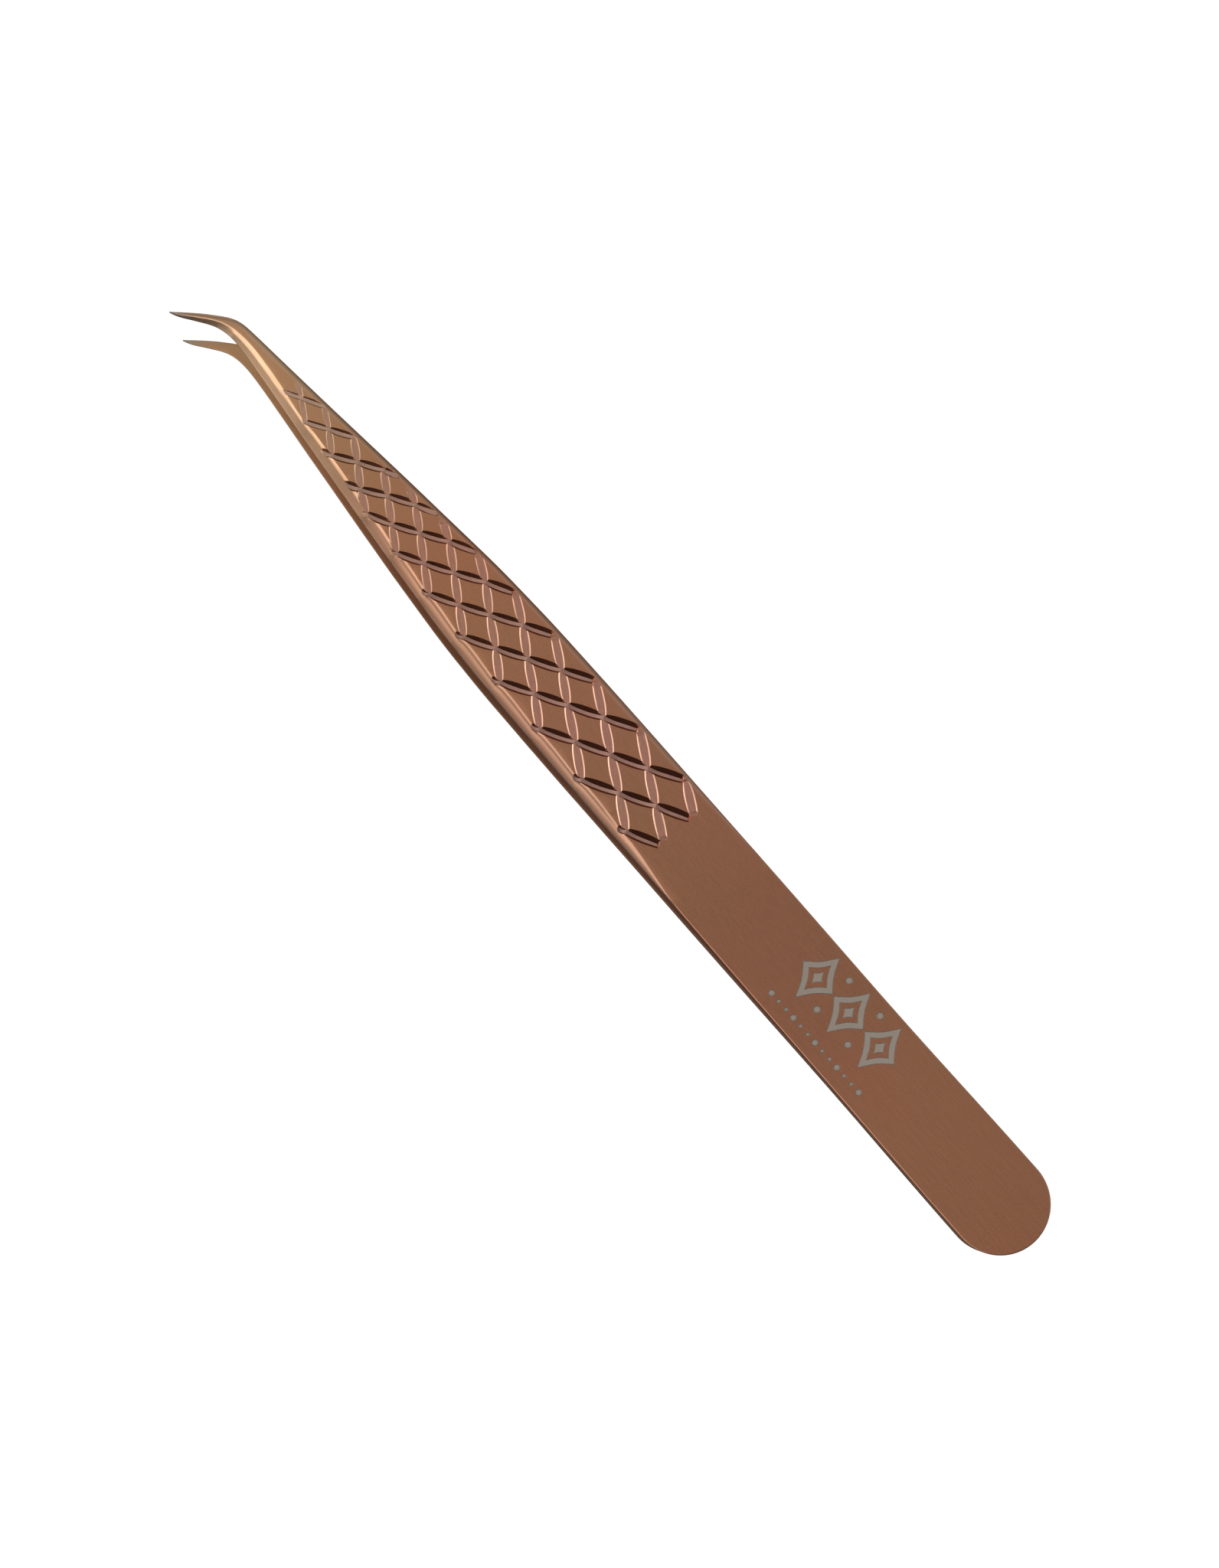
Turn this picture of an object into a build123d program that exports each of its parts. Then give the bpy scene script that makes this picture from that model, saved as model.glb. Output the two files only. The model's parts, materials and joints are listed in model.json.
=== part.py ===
from build123d import *
import math
import os

os.makedirs("parts", exist_ok=True)

# Fine-tipped tweezers with bent needle prongs.
# X runs from the round tail to the prongs, Y is the side the prongs bend to,
# Z is the direction in which the two blades open. The lower blade's flat outer
# tail face is the plane Z = 0, and the origin lies on it, on the centre line,
# ORIGIN_X in from the tail end. Millimetres.
# Every x below is measured from the tail end; from_tail() moves it to the origin.
# "Front" is the +Y side, "back" the -Y side.

# ---------------------------------------------------------------- dimensions
LENGTH = 120.0            # tail end to prong points
ORIGIN_X = 10.0           # origin, in from the tail end
TAIL_RADIUS = 4.82        # half width of the round tail
BLADE_T = 1.20            # blade thickness at the handle
SPACER_T = 0.80           # packing between the blades at the tail
SPACER_END = 17.0         # where the packing's straight sides stop
SPACER_BULGE = 1.0        # rise of the packing's arched end beyond SPACER_END
SPACER_INSET = 0.12       # packing edge inside the blade edge
SPACER_TAPER = 0.10       # narrowing of each packing side by SPACER_END
MID_Z = BLADE_T + SPACER_T / 2   # mid plane between the blades

ROOT_CURVE_X = 18.0       # where the root's flat tail passes into its curve
FLEX_X = 26.0             # line across the blade where it flexes
FLEX_GAP = 0.06           # running gap at the flex line
NOSE_R = BLADE_T / 2 - 0.002     # round end of the arm
SOCKET_R = NOSE_R + FLEX_GAP     # hollow in the root around the nose
SOCKET_X = FLEX_X - math.sqrt(SOCKET_R**2 - (BLADE_T / 2) ** 2) + 0.012  # root's end

TAIL_OVERRUN = 1.0        # side profile beyond the tail, before trimming
TIP_OVERRUN = 0.8         # side profile beyond the points, before trimming
HALF_WIDTH = 10           # half width of the untrimmed blades
TRIM_HALF_HEIGHT = 20     # half height of the outline prism

WELD_R = 1.5              # spot-weld nugget radius
WELD_X = (5.2, 9.6, 14.0) # nugget centres
WELD_H = 1.7              # nugget height through spacer and into both blades

GROOVE_D = 0.15           # depth of the grip grooves
GROOVE_W = 0.95           # groove width, widest
GROOVE_NODE_W = 0.50      # groove width where grooves cross
GROOVE_CUT_H = 1.0        # height of the groove cutters
BAND_X = 52.5             # centre of the first band of grooves cut on one plane
BAND_PITCH = 3.0          # spacing of the bands

BEVEL_LIFT = 0.15         # bevel plane carried on above the outer face
BEVEL_OVERHANG = 0.6      # bevel cutter beyond the blade edge
BEVEL_TOP = 2.0           # bevel cutter above the outer face
BEVEL_MIN_RUN = 0.05      # narrower bevels than this take the fixed slope
BEVEL_START_SLOPE = 0.2

# inner face height above the mid plane: (x, height)
INNER = ((0.0, SPACER_T / 2), (18.0, SPACER_T / 2), (22.0, 0.440), (26.0, 0.575), (30.0, 0.81),
         (37.0, 1.29), (45.0, 1.86), (60.0, 2.70), (75.0, 3.36), (90.0, 3.85),
         (104.0, 4.15), (108.0, 4.26), (112.0, 4.42), (118.5, 4.745), (121.0, 4.87))
# blade thickness: (x, thickness)
THICK = ((0.0, BLADE_T), (60.0, BLADE_T), (80.0, 1.10), (104.0, 0.85), (112.0, 0.65),
         (120.5, 0.22))

# blade outline: (x, y) along the back edge and the front edge
BACK = ((TAIL_RADIUS, -TAIL_RADIUS), (10.0, -4.80), (21.5, -4.68), (36.0, -4.65),
        (50.0, -4.60), (65.0, -4.53), (70.0, -4.47), (73.5, -4.41), (77.0, -4.28),
        (80.7, -4.10), (84.4, -3.81), (88.0, -3.50), (91.7, -3.19), (95.3, -2.87),
        (99.0, -2.53), (102.7, -2.19), (106.35, -1.87), (109.3, -1.62), (111.5, -1.44),
        (113.2, -1.29), (114.2, -1.17), (114.85, -1.02), (115.4, -0.80), (115.92, -0.49),
        (116.8, 0.22), (117.67, 0.99), (118.55, 1.86), (119.42, 2.78), (119.92, 3.31))
FRONT = ((TAIL_RADIUS, TAIL_RADIUS), (10.0, 4.80), (21.5, 4.68), (36.0, 4.63),
         (50.0, 4.55), (65.0, 4.48), (70.0, 4.41), (73.4, 4.35), (77.0, 4.21),
         (80.7, 4.00), (84.3, 3.68), (88.0, 3.33), (91.6, 2.95), (95.3, 2.54),
         (98.9, 2.13), (102.6, 1.71), (106.3, 1.27), (110.0, 0.84), (112.2, 0.62),
         (113.2, 0.56), (114.0, 0.56), (114.8, 0.64), (115.45, 0.80), (115.9, 0.96),
         (116.35, 1.18), (116.8, 1.45), (117.2, 1.73), (117.65, 2.04), (118.1, 2.36),
         (118.55, 2.69), (119.0, 2.99), (119.5, 3.26), (119.88, 3.42))
TIP_POINT = (119.97, 3.40)   # middle of the small arc joining the two edges

# ground bevels on the outer face: (x, y where it meets the flat, drop at the edge)
BEVEL_FRONT = ((43.0, 4.585, 0.01), (47.0, 4.30, 0.13), (51.0, 3.87, 0.28),
               (55.4, 3.57, 0.36), (66.2, 3.36, 0.38), (73.4, 3.12, 0.38),
               (80.7, 2.78, 0.38), (88.0, 2.20, 0.36), (95.3, 1.48, 0.33),
               (102.6, 0.78, 0.29), (108.0, 0.38, 0.24), (112.0, 0.20, 0.20),
               (113.6, 0.16, 0.18))
BEVEL_BACK = ((43.0, -4.61, 0.01), (47.0, -4.42, 0.12), (51.0, -4.20, 0.24),
              (55.4, -4.06, 0.30), (66.2, -3.95, 0.30), (73.4, -3.80, 0.30),
              (80.7, -3.58, 0.30), (88.0, -3.03, 0.29), (95.3, -2.42, 0.27),
              (102.6, -1.78, 0.25), (108.0, -1.36, 0.22), (112.0, -1.06, 0.18),
              (113.6, -0.95, 0.17))

# grip lattice: (x, y) of the groove crossings, in rows along the blade
MID_ROW = ((54.10, -0.32), (60.50, -0.32), (66.70, -0.32), (72.50, -0.37), (77.97, -0.43),
           (83.20, -0.51), (88.18, -0.57), (92.88, -0.60), (97.21, -0.58), (101.39, -0.60),
           (105.40, -0.60))
BACK_ROW = ((57.25, -2.10), (63.60, -2.10), (69.55, -2.09), (75.20, -2.14), (80.60, -2.18),
            (85.75, -2.14), (90.52, -2.02), (95.03, -1.94), (99.30, -1.86), (103.38, -1.70))
FRONT_ROW = ((57.25, 1.50), (63.60, 1.42), (69.55, 1.33), (75.20, 1.25), (80.60, 1.16),
             (85.75, 1.03), (90.52, 0.90), (95.03, 0.93), (99.30, 0.84), (103.38, 0.62))
BACK_EDGE = ((54.10, -4.06), (60.50, -3.98), (66.70, -3.86), (72.50, -3.74),
             (77.97, -3.62), (83.20, -3.50), (88.18, -3.20), (92.88, -2.95))
FRONT_EDGE = ((54.10, 3.38), (60.50, 3.33), (66.70, 3.17), (72.50, 3.06),
              (77.97, 2.82), (83.20, 2.62), (88.18, 2.38), (92.88, 2.05))
# grooves that run out at the tail side and at the prong side: (crossing, run-out point)
RUN_OUTS = ((MID_ROW[0], (50.9, -2.10)), (MID_ROW[0], (50.9, 1.55)),
            (BACK_EDGE[0], (50.9, -2.15)), (FRONT_EDGE[0], (50.9, 1.60)),
            (MID_ROW[-1], (107.5, -1.75)), (MID_ROW[-1], (107.5, 0.62)))


# ---------------------------------------------------------------- blade geometry
def from_tail(x, other=0.0):
    """Sketch point for x from the tail end and the other coordinate (y or z)."""
    return (x - ORIGIN_X, other)


def along(table, x):
    """Monotone cubic through a table of (x, value), held constant beyond its ends."""
    xs, values = zip(*table)
    last = len(xs) - 1
    steps = [xs[i + 1] - xs[i] for i in range(last)]
    slopes = [(values[i + 1] - values[i]) / steps[i] for i in range(last)]
    tangents = [slopes[0]] + [0.0] * (last - 1) + [slopes[-1]]
    for i in range(1, last):
        if slopes[i - 1] * slopes[i] > 0:
            before = 2 * steps[i] + steps[i - 1]
            after = steps[i] + 2 * steps[i - 1]
            tangents[i] = (before + after) / (before / slopes[i - 1] + after / slopes[i])
    x = min(max(x, xs[0]), xs[-1])
    i = max(k for k in range(last) if xs[k] <= x)
    t = (x - xs[i]) / steps[i]
    return ((2 * t**3 - 3 * t**2 + 1) * values[i]
            + (t**3 - 2 * t**2 + t) * steps[i] * tangents[i]
            + (-2 * t**3 + 3 * t**2) * values[i + 1]
            + (t**3 - t**2) * steps[i] * tangents[i + 1])


def inner_z(x):
    return MID_Z + along(INNER, x)


def outer_z(x):
    return inner_z(x) + along(THICK, x)


def profile_points(height, start, end, count):
    """Side-view points of a blade face at evenly spaced stations."""
    xs = [start + (end - start) * i / (count - 1) for i in range(count)]
    return [from_tail(x, height(x)) for x in xs]


FLEX_CENTRE = from_tail(FLEX_X, inner_z(FLEX_X) + BLADE_T / 2)  # (x, z) of the flex axis


def make_outline():
    """Tall prism with the blade's outline, used to trim the blade pieces."""
    with BuildPart() as outline:
        with BuildSketch(Plane.XY.offset(-TRIM_HALF_HEIGHT)):
            with BuildLine():
                back = Spline(*[from_tail(*p) for p in BACK], tangents=[(1, 0), (0.72, 0.69)])
                front = Spline(*[from_tail(*p) for p in FRONT], tangents=[(1, 0), (0.93, 0.36)])
                ThreePointArc(back @ 1, from_tail(*TIP_POINT), front @ 1)
                ThreePointArc(back @ 0, from_tail(0), front @ 0)
            make_face()
        extrude(amount=2 * TRIM_HALF_HEIGHT)
    return outline.part


# ---------------------------------------------------------------- tail pieces
def make_spot_welds():
    with BuildPart() as welds:
        with BuildSketch(Plane.XY.offset(MID_Z - WELD_H / 2)):
            with Locations(*[from_tail(x) for x in WELD_X]):
                Circle(WELD_R)
        extrude(amount=WELD_H)
    return welds.part


def make_tail_spacer(welds):
    """Packing between the blades, with holes that the weld nuggets fill."""
    half_width = TAIL_RADIUS - SPACER_INSET
    end_half_width = half_width - SPACER_TAPER
    with BuildPart() as spacer:
        with BuildSketch(Plane.XY.offset(MID_Z - SPACER_T / 2)):
            with BuildLine():
                tail = ThreePointArc(from_tail(TAIL_RADIUS, -half_width),
                                     from_tail(SPACER_INSET),
                                     from_tail(TAIL_RADIUS, half_width))
                side = Line(tail @ 1, from_tail(SPACER_END, end_half_width))
                end = ThreePointArc(side @ 1, from_tail(SPACER_END + SPACER_BULGE),
                                    from_tail(SPACER_END, -end_half_width))
                Line(end @ 1, tail @ 0)
            make_face()
        extrude(amount=SPACER_T)
        add(welds, mode=Mode.SUBTRACT)
    return spacer.part


def make_blade_root(outline, welds):
    """Upper blade's welded tail, with a socket at the flex line and weld pockets."""
    span = (ROOT_CURVE_X, SOCKET_X, 9)
    end_tangents = [(1, 0), (1, 0.045)]
    with BuildPart() as root:
        with BuildSketch(Plane.XZ):
            with BuildLine():
                low = Spline(*profile_points(inner_z, *span), tangents=end_tangents)
                top = Spline(*profile_points(outer_z, *span), tangents=end_tangents)
                Line(low @ 1, top @ 1)
                Polyline(low @ 0, from_tail(-TAIL_OVERRUN, inner_z(0)),
                         from_tail(-TAIL_OVERRUN, outer_z(0)), top @ 0)
            make_face()
            with Locations(FLEX_CENTRE):
                Circle(SOCKET_R, mode=Mode.SUBTRACT)
        extrude(amount=HALF_WIDTH, both=True)
        add(outline, mode=Mode.INTERSECT)
        add(welds, mode=Mode.SUBTRACT)
    return root.part


# ---------------------------------------------------------------- free arm
def make_plain_arm(outline):
    """Upper blade's arm with its round nose, before bevels and grooves."""
    span = (FLEX_X, LENGTH + TIP_OVERRUN, 48)
    with BuildPart() as arm:
        with BuildSketch(Plane.XZ):
            with BuildLine():
                low = Spline(*profile_points(inner_z, *span))
                top = Spline(*profile_points(outer_z, *span))
                Line(low @ 0, top @ 0)
                Line(low @ 1, top @ 1)
            make_face()
            with Locations(FLEX_CENTRE):
                Circle(NOSE_R)
        extrude(amount=HALF_WIDTH, both=True)
        add(outline, mode=Mode.INTERSECT)
    return arm.part


def bevel_section(x, y_flat, drop, side):
    """(y, z) corners of the metal ground off at one station; side is +1 front, -1 back."""
    edge = along(FRONT if side > 0 else BACK, x)
    top = outer_z(x)
    run = (edge - y_flat) * side
    slope = drop / run if run > BEVEL_MIN_RUN else BEVEL_START_SLOPE
    y_inside = y_flat - side * BEVEL_LIFT / slope
    y_outside = edge + side * BEVEL_OVERHANG
    corners = [(y_inside, top + BEVEL_LIFT),
               (y_outside, top - drop - BEVEL_OVERHANG * slope),
               (y_outside, top + BEVEL_TOP),
               (y_inside, top + BEVEL_TOP)]
    # the back section is reversed so both wind the same way
    return corners if side > 0 else corners[::-1]


def make_bevel_wedge(stations, side):
    with BuildPart() as bevel:
        for x, y_flat, drop in stations:
            with BuildSketch(Plane.YZ.offset(x - ORIGIN_X)):
                with BuildLine():
                    Polyline(*bevel_section(x, y_flat, drop, side), close=True)
                make_face()
        loft(ruled=True)
    return bevel.part


def lens(start, end, runs_out):
    """Closed lens between two points: pinched at crossings, wide between.

    A groove that runs out stops short of its end point with a blunt end.
    """
    length = math.dist(start, end)
    ux, uy = (end[0] - start[0]) / length, (end[1] - start[1]) / length
    stations = []   # (fraction of the length, half width)
    for t in (-0.06, 0.15, 0.5, 0.85, 1.06):
        swell = math.sin(math.pi * min(max(t, 0), 1)) ** 0.8
        stations.append((t, (GROOVE_NODE_W + (GROOVE_W - GROOVE_NODE_W) * swell) / 2))
    if runs_out:
        stations = stations[:3] + [(0.86, stations[3][1])]

    def offset_point(t, half):
        return (start[0] + ux * length * t - uy * half, start[1] + uy * length * t + ux * half)

    return ([offset_point(t, half) for t, half in stations]
            + [offset_point(t, -half) for t, half in reversed(stations)])


def groove_segments():
    """Every groove of the lattice as (start, end, runs_out)."""
    segments = []
    for i, crossing in enumerate(MID_ROW):
        for row in (BACK_ROW, FRONT_ROW):
            if i < len(row):
                segments.append((crossing, row[i], False))
            if i > 0:
                segments.append((crossing, row[i - 1], False))
    for row, edge in ((BACK_ROW, BACK_EDGE), (FRONT_ROW, FRONT_EDGE)):
        for i, crossing in enumerate(edge):
            segments.append((crossing, row[i], False))
            if i > 0:
                segments.append((crossing, row[i - 1], False))
    return segments + [(start, end, True) for start, end in RUN_OUTS]


def make_grooves():
    """Groove cutters, each band on a plane parallel to the outer face below it."""
    bands = {}
    for segment in groove_segments():
        mid_x = (segment[0][0] + segment[1][0]) / 2
        bands.setdefault(round((mid_x - BAND_X) / BAND_PITCH), []).append(segment)

    with BuildPart() as grooves:
        for _, band in sorted(bands.items()):
            band_x = sum((start[0] + end[0]) / 2 for start, end, _ in band) / len(band)
            slope = (outer_z(band_x + 1) - outer_z(band_x - 1)) / 2
            floor = Plane(origin=(band_x - ORIGIN_X, 0, outer_z(band_x) - GROOVE_D),
                          x_dir=(1, 0, slope), z_dir=(-slope, 0, 1))
            with BuildSketch(floor):
                for start, end, runs_out in band:
                    points = lens((start[0] - band_x, start[1]), (end[0] - band_x, end[1]),
                                  runs_out)
                    with BuildLine():
                        Polyline(*points, close=True)
                    make_face()
            extrude(amount=GROOVE_CUT_H)
    return grooves.part


def make_blade_arm(outline):
    plain_arm = make_plain_arm(outline)
    cutters = (make_bevel_wedge(BEVEL_FRONT, 1), make_bevel_wedge(BEVEL_BACK, -1),
               make_grooves())
    with BuildPart() as arm:
        add(plain_arm)
        for cutter in cutters:
            add(cutter, mode=Mode.SUBTRACT)
    return arm.part


def make_lower(upper):
    """Lower blade piece: mirror image of the upper one."""
    with BuildPart() as lower:
        mirror(upper, about=Plane.XY.offset(MID_Z))
    return lower.part


# ---------------------------------------------------------------- build and export
blade_outline = make_outline()
spot_welds = make_spot_welds()
upper_root = make_blade_root(blade_outline, spot_welds)
upper_arm = make_blade_arm(blade_outline)

pieces = {
    "upper_blade_root": upper_root,
    "upper_blade_arm": upper_arm,
    "lower_blade_root": make_lower(upper_root),
    "lower_blade_arm": make_lower(upper_arm),
    "tail_spacer": make_tail_spacer(spot_welds),
    "spot_welds": spot_welds,
}
for name, piece in pieces.items():
    piece.label = name
    export_step(piece, f"parts/{name}.step")
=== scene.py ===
# Copper-coated tweezers with bent points and a cross-cut grip: two mirrored blades joined at
# the tail. Shape tables are in mm: x runs from the tail end to the prong points, +y ("front")
# is the side the prongs bend to, -y is "back", and z is the height above the plane midway
# between the blades. In the frame the origin lies ORIGIN_X from the tail end and that plane
# is at z = MID_Z.
import json
import math
import bmesh
import bpy
import numpy as np
from mathutils import Vector, Matrix
from mathutils.geometry import delaunay_2d_cdt

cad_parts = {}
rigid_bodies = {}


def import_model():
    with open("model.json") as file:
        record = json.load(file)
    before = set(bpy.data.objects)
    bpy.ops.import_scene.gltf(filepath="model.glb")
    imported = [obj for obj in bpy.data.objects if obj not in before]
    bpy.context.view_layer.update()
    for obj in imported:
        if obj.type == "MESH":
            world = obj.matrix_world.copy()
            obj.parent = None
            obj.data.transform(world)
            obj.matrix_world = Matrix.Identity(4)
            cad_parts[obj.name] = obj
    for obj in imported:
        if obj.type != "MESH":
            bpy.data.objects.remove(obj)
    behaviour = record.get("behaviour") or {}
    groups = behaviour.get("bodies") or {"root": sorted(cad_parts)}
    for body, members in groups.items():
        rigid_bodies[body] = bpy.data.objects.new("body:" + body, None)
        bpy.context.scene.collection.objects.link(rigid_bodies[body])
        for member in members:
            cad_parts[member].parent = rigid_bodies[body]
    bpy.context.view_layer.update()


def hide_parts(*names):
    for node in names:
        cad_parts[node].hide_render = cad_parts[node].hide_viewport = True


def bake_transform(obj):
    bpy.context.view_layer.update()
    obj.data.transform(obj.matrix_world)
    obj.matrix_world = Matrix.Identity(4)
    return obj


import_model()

MM = 0.001

# ------------------------------------------------------------------ shape tables, mm
ORIGIN_X = 10.0
MID_Z = 1.6
TAIL_R = 4.82
# (x, height of the blade's inner face above the middle plane)
INNER = ((0.0, 0.400), (18.0, 0.400), (22.0, 0.440), (26.0, 0.575), (30.0, 0.81),
         (37.0, 1.29), (45.0, 1.86), (60.0, 2.70), (75.0, 3.36), (90.0, 3.85),
         (104.0, 4.15), (108.0, 4.26), (112.0, 4.42), (118.5, 4.745), (121.0, 4.87))
# (x, blade thickness)
THICK = ((0.0, 1.20), (60.0, 1.20), (80.0, 1.10), (104.0, 0.85), (112.0, 0.65), (120.5, 0.22))
# (x, y) of the two edges, from the tail round to the points
BACK = ((4.82, -4.82), (10.0, -4.80), (21.5, -4.68), (36.0, -4.65), (50.0, -4.60),
        (65.0, -4.53), (70.0, -4.47), (73.5, -4.41), (77.0, -4.28), (80.7, -4.10),
        (84.4, -3.81), (88.0, -3.50), (91.7, -3.19), (95.3, -2.87), (99.0, -2.53),
        (102.7, -2.19), (106.35, -1.87), (109.3, -1.62), (111.5, -1.44), (113.2, -1.29),
        (114.2, -1.17), (114.85, -1.02), (115.4, -0.80), (115.92, -0.49), (116.8, 0.22),
        (117.67, 0.99), (118.55, 1.86), (119.42, 2.78), (119.92, 3.31))
FRONT = ((4.82, 4.82), (10.0, 4.80), (21.5, 4.68), (36.0, 4.63), (50.0, 4.55), (65.0, 4.48),
         (70.0, 4.41), (73.4, 4.35), (77.0, 4.21), (80.7, 4.00), (84.3, 3.68), (88.0, 3.33),
         (91.6, 2.95), (95.3, 2.54), (98.9, 2.13), (102.6, 1.71), (106.3, 1.27), (110.0, 0.84),
         (112.2, 0.62), (113.2, 0.56), (114.0, 0.56), (114.8, 0.64), (115.45, 0.80),
         (115.9, 0.96), (116.35, 1.18), (116.8, 1.45), (117.2, 1.73), (117.65, 2.04),
         (118.1, 2.36), (118.55, 2.69), (119.0, 2.99), (119.5, 3.26), (119.88, 3.42))
TAIL_DIRECTION = (1, 0)             # of both edges where they leave the tail
BACK_TIP_DIRECTION = (0.72, 0.69)
FRONT_TIP_DIRECTION = (0.93, 0.36)
TIP = (119.97, 3.40)
# (x, y) of the grip lattice's crossings, row by row, and of its ends beside the edges
MID_ROW = ((54.10, -0.32), (60.50, -0.32), (66.70, -0.32), (72.50, -0.37), (77.97, -0.43),
           (83.20, -0.51), (88.18, -0.57), (92.88, -0.60), (97.21, -0.58), (101.39, -0.60),
           (105.40, -0.60))
BACK_ROW = ((57.25, -2.10), (63.60, -2.10), (69.55, -2.09), (75.20, -2.14), (80.60, -2.18),
            (85.75, -2.14), (90.52, -2.02), (95.03, -1.94), (99.30, -1.86), (103.38, -1.70))
FRONT_ROW = ((57.25, 1.50), (63.60, 1.42), (69.55, 1.33), (75.20, 1.25), (80.60, 1.16),
             (85.75, 1.03), (90.52, 0.90), (95.03, 0.93), (99.30, 0.84), (103.38, 0.62))
BACK_EDGE = ((54.10, -4.06), (60.50, -3.98), (66.70, -3.86), (72.50, -3.74), (77.97, -3.62),
             (83.20, -3.50), (88.18, -3.20), (92.88, -2.95))
FRONT_EDGE = ((54.10, 3.38), (60.50, 3.33), (66.70, 3.17), (72.50, 3.06), (77.97, 2.82),
              (83.20, 2.62), (88.18, 2.38), (92.88, 2.05))
# (x, width of the ground bevel, measured in from the edge)
FRONT_BEVEL_WIDTH = (
    (42.0, 0.0), (45.0, 0.03), (47.0, 0.17), (49.0, 0.42), (51.0, 0.68), (53.0, 0.88),
    (55.4, 1.12), (60.0, 1.20), (66.2, 1.23), (73.4, 1.27), (80.7, 1.31), (88.0, 1.25),
    (95.3, 1.20), (101.8, 1.13), (103.0, 1.00), (104.2, 0.94), (105.2, 0.96), (106.4, 1.03),
    (107.8, 1.09), (109.0, 1.10), (111.5, 1.04), (113.2, 0.92), (115.0, 0.74), (117.0, 0.50),
    (120.2, 0.05))
BACK_BEVEL_WIDTH = (
    (40.0, 0.0), (43.0, 0.05), (47.0, 0.22), (51.0, 0.40), (55.4, 0.52), (66.2, 0.58),
    (80.7, 0.55), (95.3, 0.55), (106.4, 0.60), (110.0, 0.60), (113.0, 0.55), (115.0, 0.48),
    (117.0, 0.38), (120.2, 0.04))
# (x, drop of the back bevel at the edge)
BACK_BEVEL_DROP = (
    (40.0, 0.0), (43.0, 0.02), (47.0, 0.10), (51.0, 0.19), (55.4, 0.25), (66.2, 0.28),
    (80.7, 0.27), (95.3, 0.26), (106.4, 0.25), (110.0, 0.24), (115.0, 0.20), (118.0, 0.14),
    (120.2, 0.05))

# material slots of a blade, in order
(COATED, LONG_FLOOR, CROSS_FLOOR, PAINTED_HIGHLIGHT_WALL, ETCHED, INNER_FACE, SIDE_FACE, ETCHED_BORDER,
 FAR_WALL, NEAR_WALL, BEVEL) = range(11)


# ------------------------------------------------------------------ curves
def rise(x, start, run):
    """0 up to start, then linearly to 1 over run; a negative run counts downwards."""
    return np.clip((x - start) / run, 0, 1)


def hermite(t, gap, start, start_slope, end, end_slope):
    return ((2 * t**3 - 3 * t * t + 1) * start + (t**3 - 2 * t * t + t) * gap * start_slope
            + (-2 * t**3 + 3 * t * t) * end + (t**3 - t * t) * gap * end_slope)


def along(table, x):
    """Monotone cubic through a table of (x, value)."""
    knots, values = np.array(table, float).T
    gap = np.diff(knots)
    rate = np.diff(values) / gap
    slope = np.zeros(len(knots))
    slope[0], slope[-1] = rate[0], rate[-1]
    for i in range(1, len(knots) - 1):
        if rate[i - 1] * rate[i] > 0:
            before, after = 2 * gap[i] + gap[i - 1], gap[i] + 2 * gap[i - 1]
            slope[i] = (before + after) / (before / rate[i - 1] + after / rate[i])
    x = np.clip(np.asarray(x, float), knots[0], knots[-1])
    i = np.clip(np.searchsorted(knots, x, side="right") - 1, 0, len(knots) - 2)
    t = (x - knots[i]) / gap[i]
    return hermite(t, gap[i], values[i], slope[i], values[i + 1], slope[i + 1])


def spline(points, start_direction, end_direction, step):
    """Clamped cubic spline by chord length, resampled at about step(x) mm."""
    points = np.array(points, float)
    chord = np.r_[0, np.cumsum(np.linalg.norm(np.diff(points, axis=0), axis=1))]
    count = len(points)
    gap = np.diff(chord)
    system = np.zeros((count, count))
    target = np.zeros((count, 2))
    system[0, 0] = system[-1, -1] = 1
    target[0] = np.array(start_direction) / np.linalg.norm(start_direction)
    target[-1] = np.array(end_direction) / np.linalg.norm(end_direction)
    for i in range(1, count - 1):
        before, after = gap[i - 1], gap[i]
        system[i, i - 1], system[i, i], system[i, i + 1] = after, 2 * (before + after), before
        target[i] = 3 * (after * (points[i] - points[i - 1]) / before
                         + before * (points[i + 1] - points[i]) / after)
    slope = np.linalg.solve(system, target)
    out = []
    for k in range(count - 1):
        pieces = max(1, int(round(gap[k] / step(points[k][0]))))
        out.extend(hermite(j / pieces, gap[k], points[k], slope[k], points[k + 1], slope[k + 1])
                   for j in range(pieces))
    out.append(points[-1])
    return np.array(out)


def arc(start, middle, end, count):
    """Points on the circle through the three points, ends left out."""
    (x0, y0), (x1, y1), (x2, y2) = start, middle, end
    twice_area = 2 * (x0 * (y1 - y2) + x1 * (y2 - y0) + x2 * (y0 - y1))
    square0, square1, square2 = x0 * x0 + y0 * y0, x1 * x1 + y1 * y1, x2 * x2 + y2 * y2
    x = (square0 * (y1 - y2) + square1 * (y2 - y0) + square2 * (y0 - y1)) / twice_area
    y = (square0 * (x2 - x1) + square1 * (x0 - x2) + square2 * (x1 - x0)) / twice_area
    radius = math.hypot(x0 - x, y0 - y)
    first, passing, last = (math.atan2(py - y, px - x) for px, py in (start, middle, end))
    turn = (last - first) % (2 * math.pi)
    if (passing - first) % (2 * math.pi) > turn:
        turn -= 2 * math.pi
    angles = [first + turn * k / (count + 1) for k in range(1, count + 1)]
    return np.array([(x + radius * math.cos(a), y + radius * math.sin(a)) for a in angles])


def distance_to(line, points):
    """Distance from each point to a polyline, worked in batches to limit memory."""
    batch = 400
    out = np.empty(len(points))
    start, leg = line[:-1], line[1:] - line[:-1]
    leg_squared = (leg ** 2).sum(1)
    for i in range(0, len(points), batch):
        offset = points[i:i + batch, None, :] - start
        t = np.clip((offset * leg).sum(2) / leg_squared, 0, 1)
        out[i:i + batch] = np.sqrt(((offset - t[..., None] * leg) ** 2).sum(2).min(1))
    return out


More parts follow.
